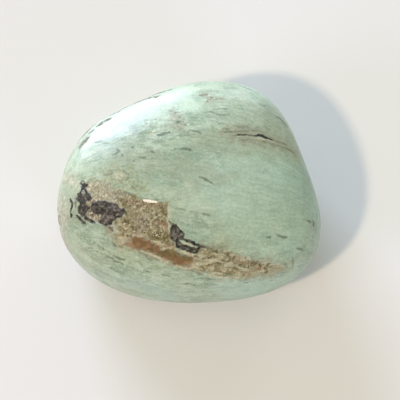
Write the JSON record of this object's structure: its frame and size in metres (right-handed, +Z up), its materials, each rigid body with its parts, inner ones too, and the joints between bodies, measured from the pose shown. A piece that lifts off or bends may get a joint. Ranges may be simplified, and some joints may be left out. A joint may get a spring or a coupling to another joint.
{
  "type": "turquoise stone",
  "caption": "Tumbled turquoise pebble, a rounded triangle in plan with a dark brown and golden seam, lying on its worn flat belly.",
  "frame": {"origin": "middle of the bounding box in plan, on the surface that the stone rests on", "axes": "+X along the stone's longest way in plan, towards the blunt corner; +Z up, away from the surface that it rests on"},
  "size_m": [0.0318, 0.028, 0.0159],
  "materials": {
    "turquoise": "pale grey-green polished turquoise with a brown and golden iron-stained seam, satin gloss"
  },
  "bodies": {
    "root": {"stone": "turquoise"}
  },
  "joints": []
}
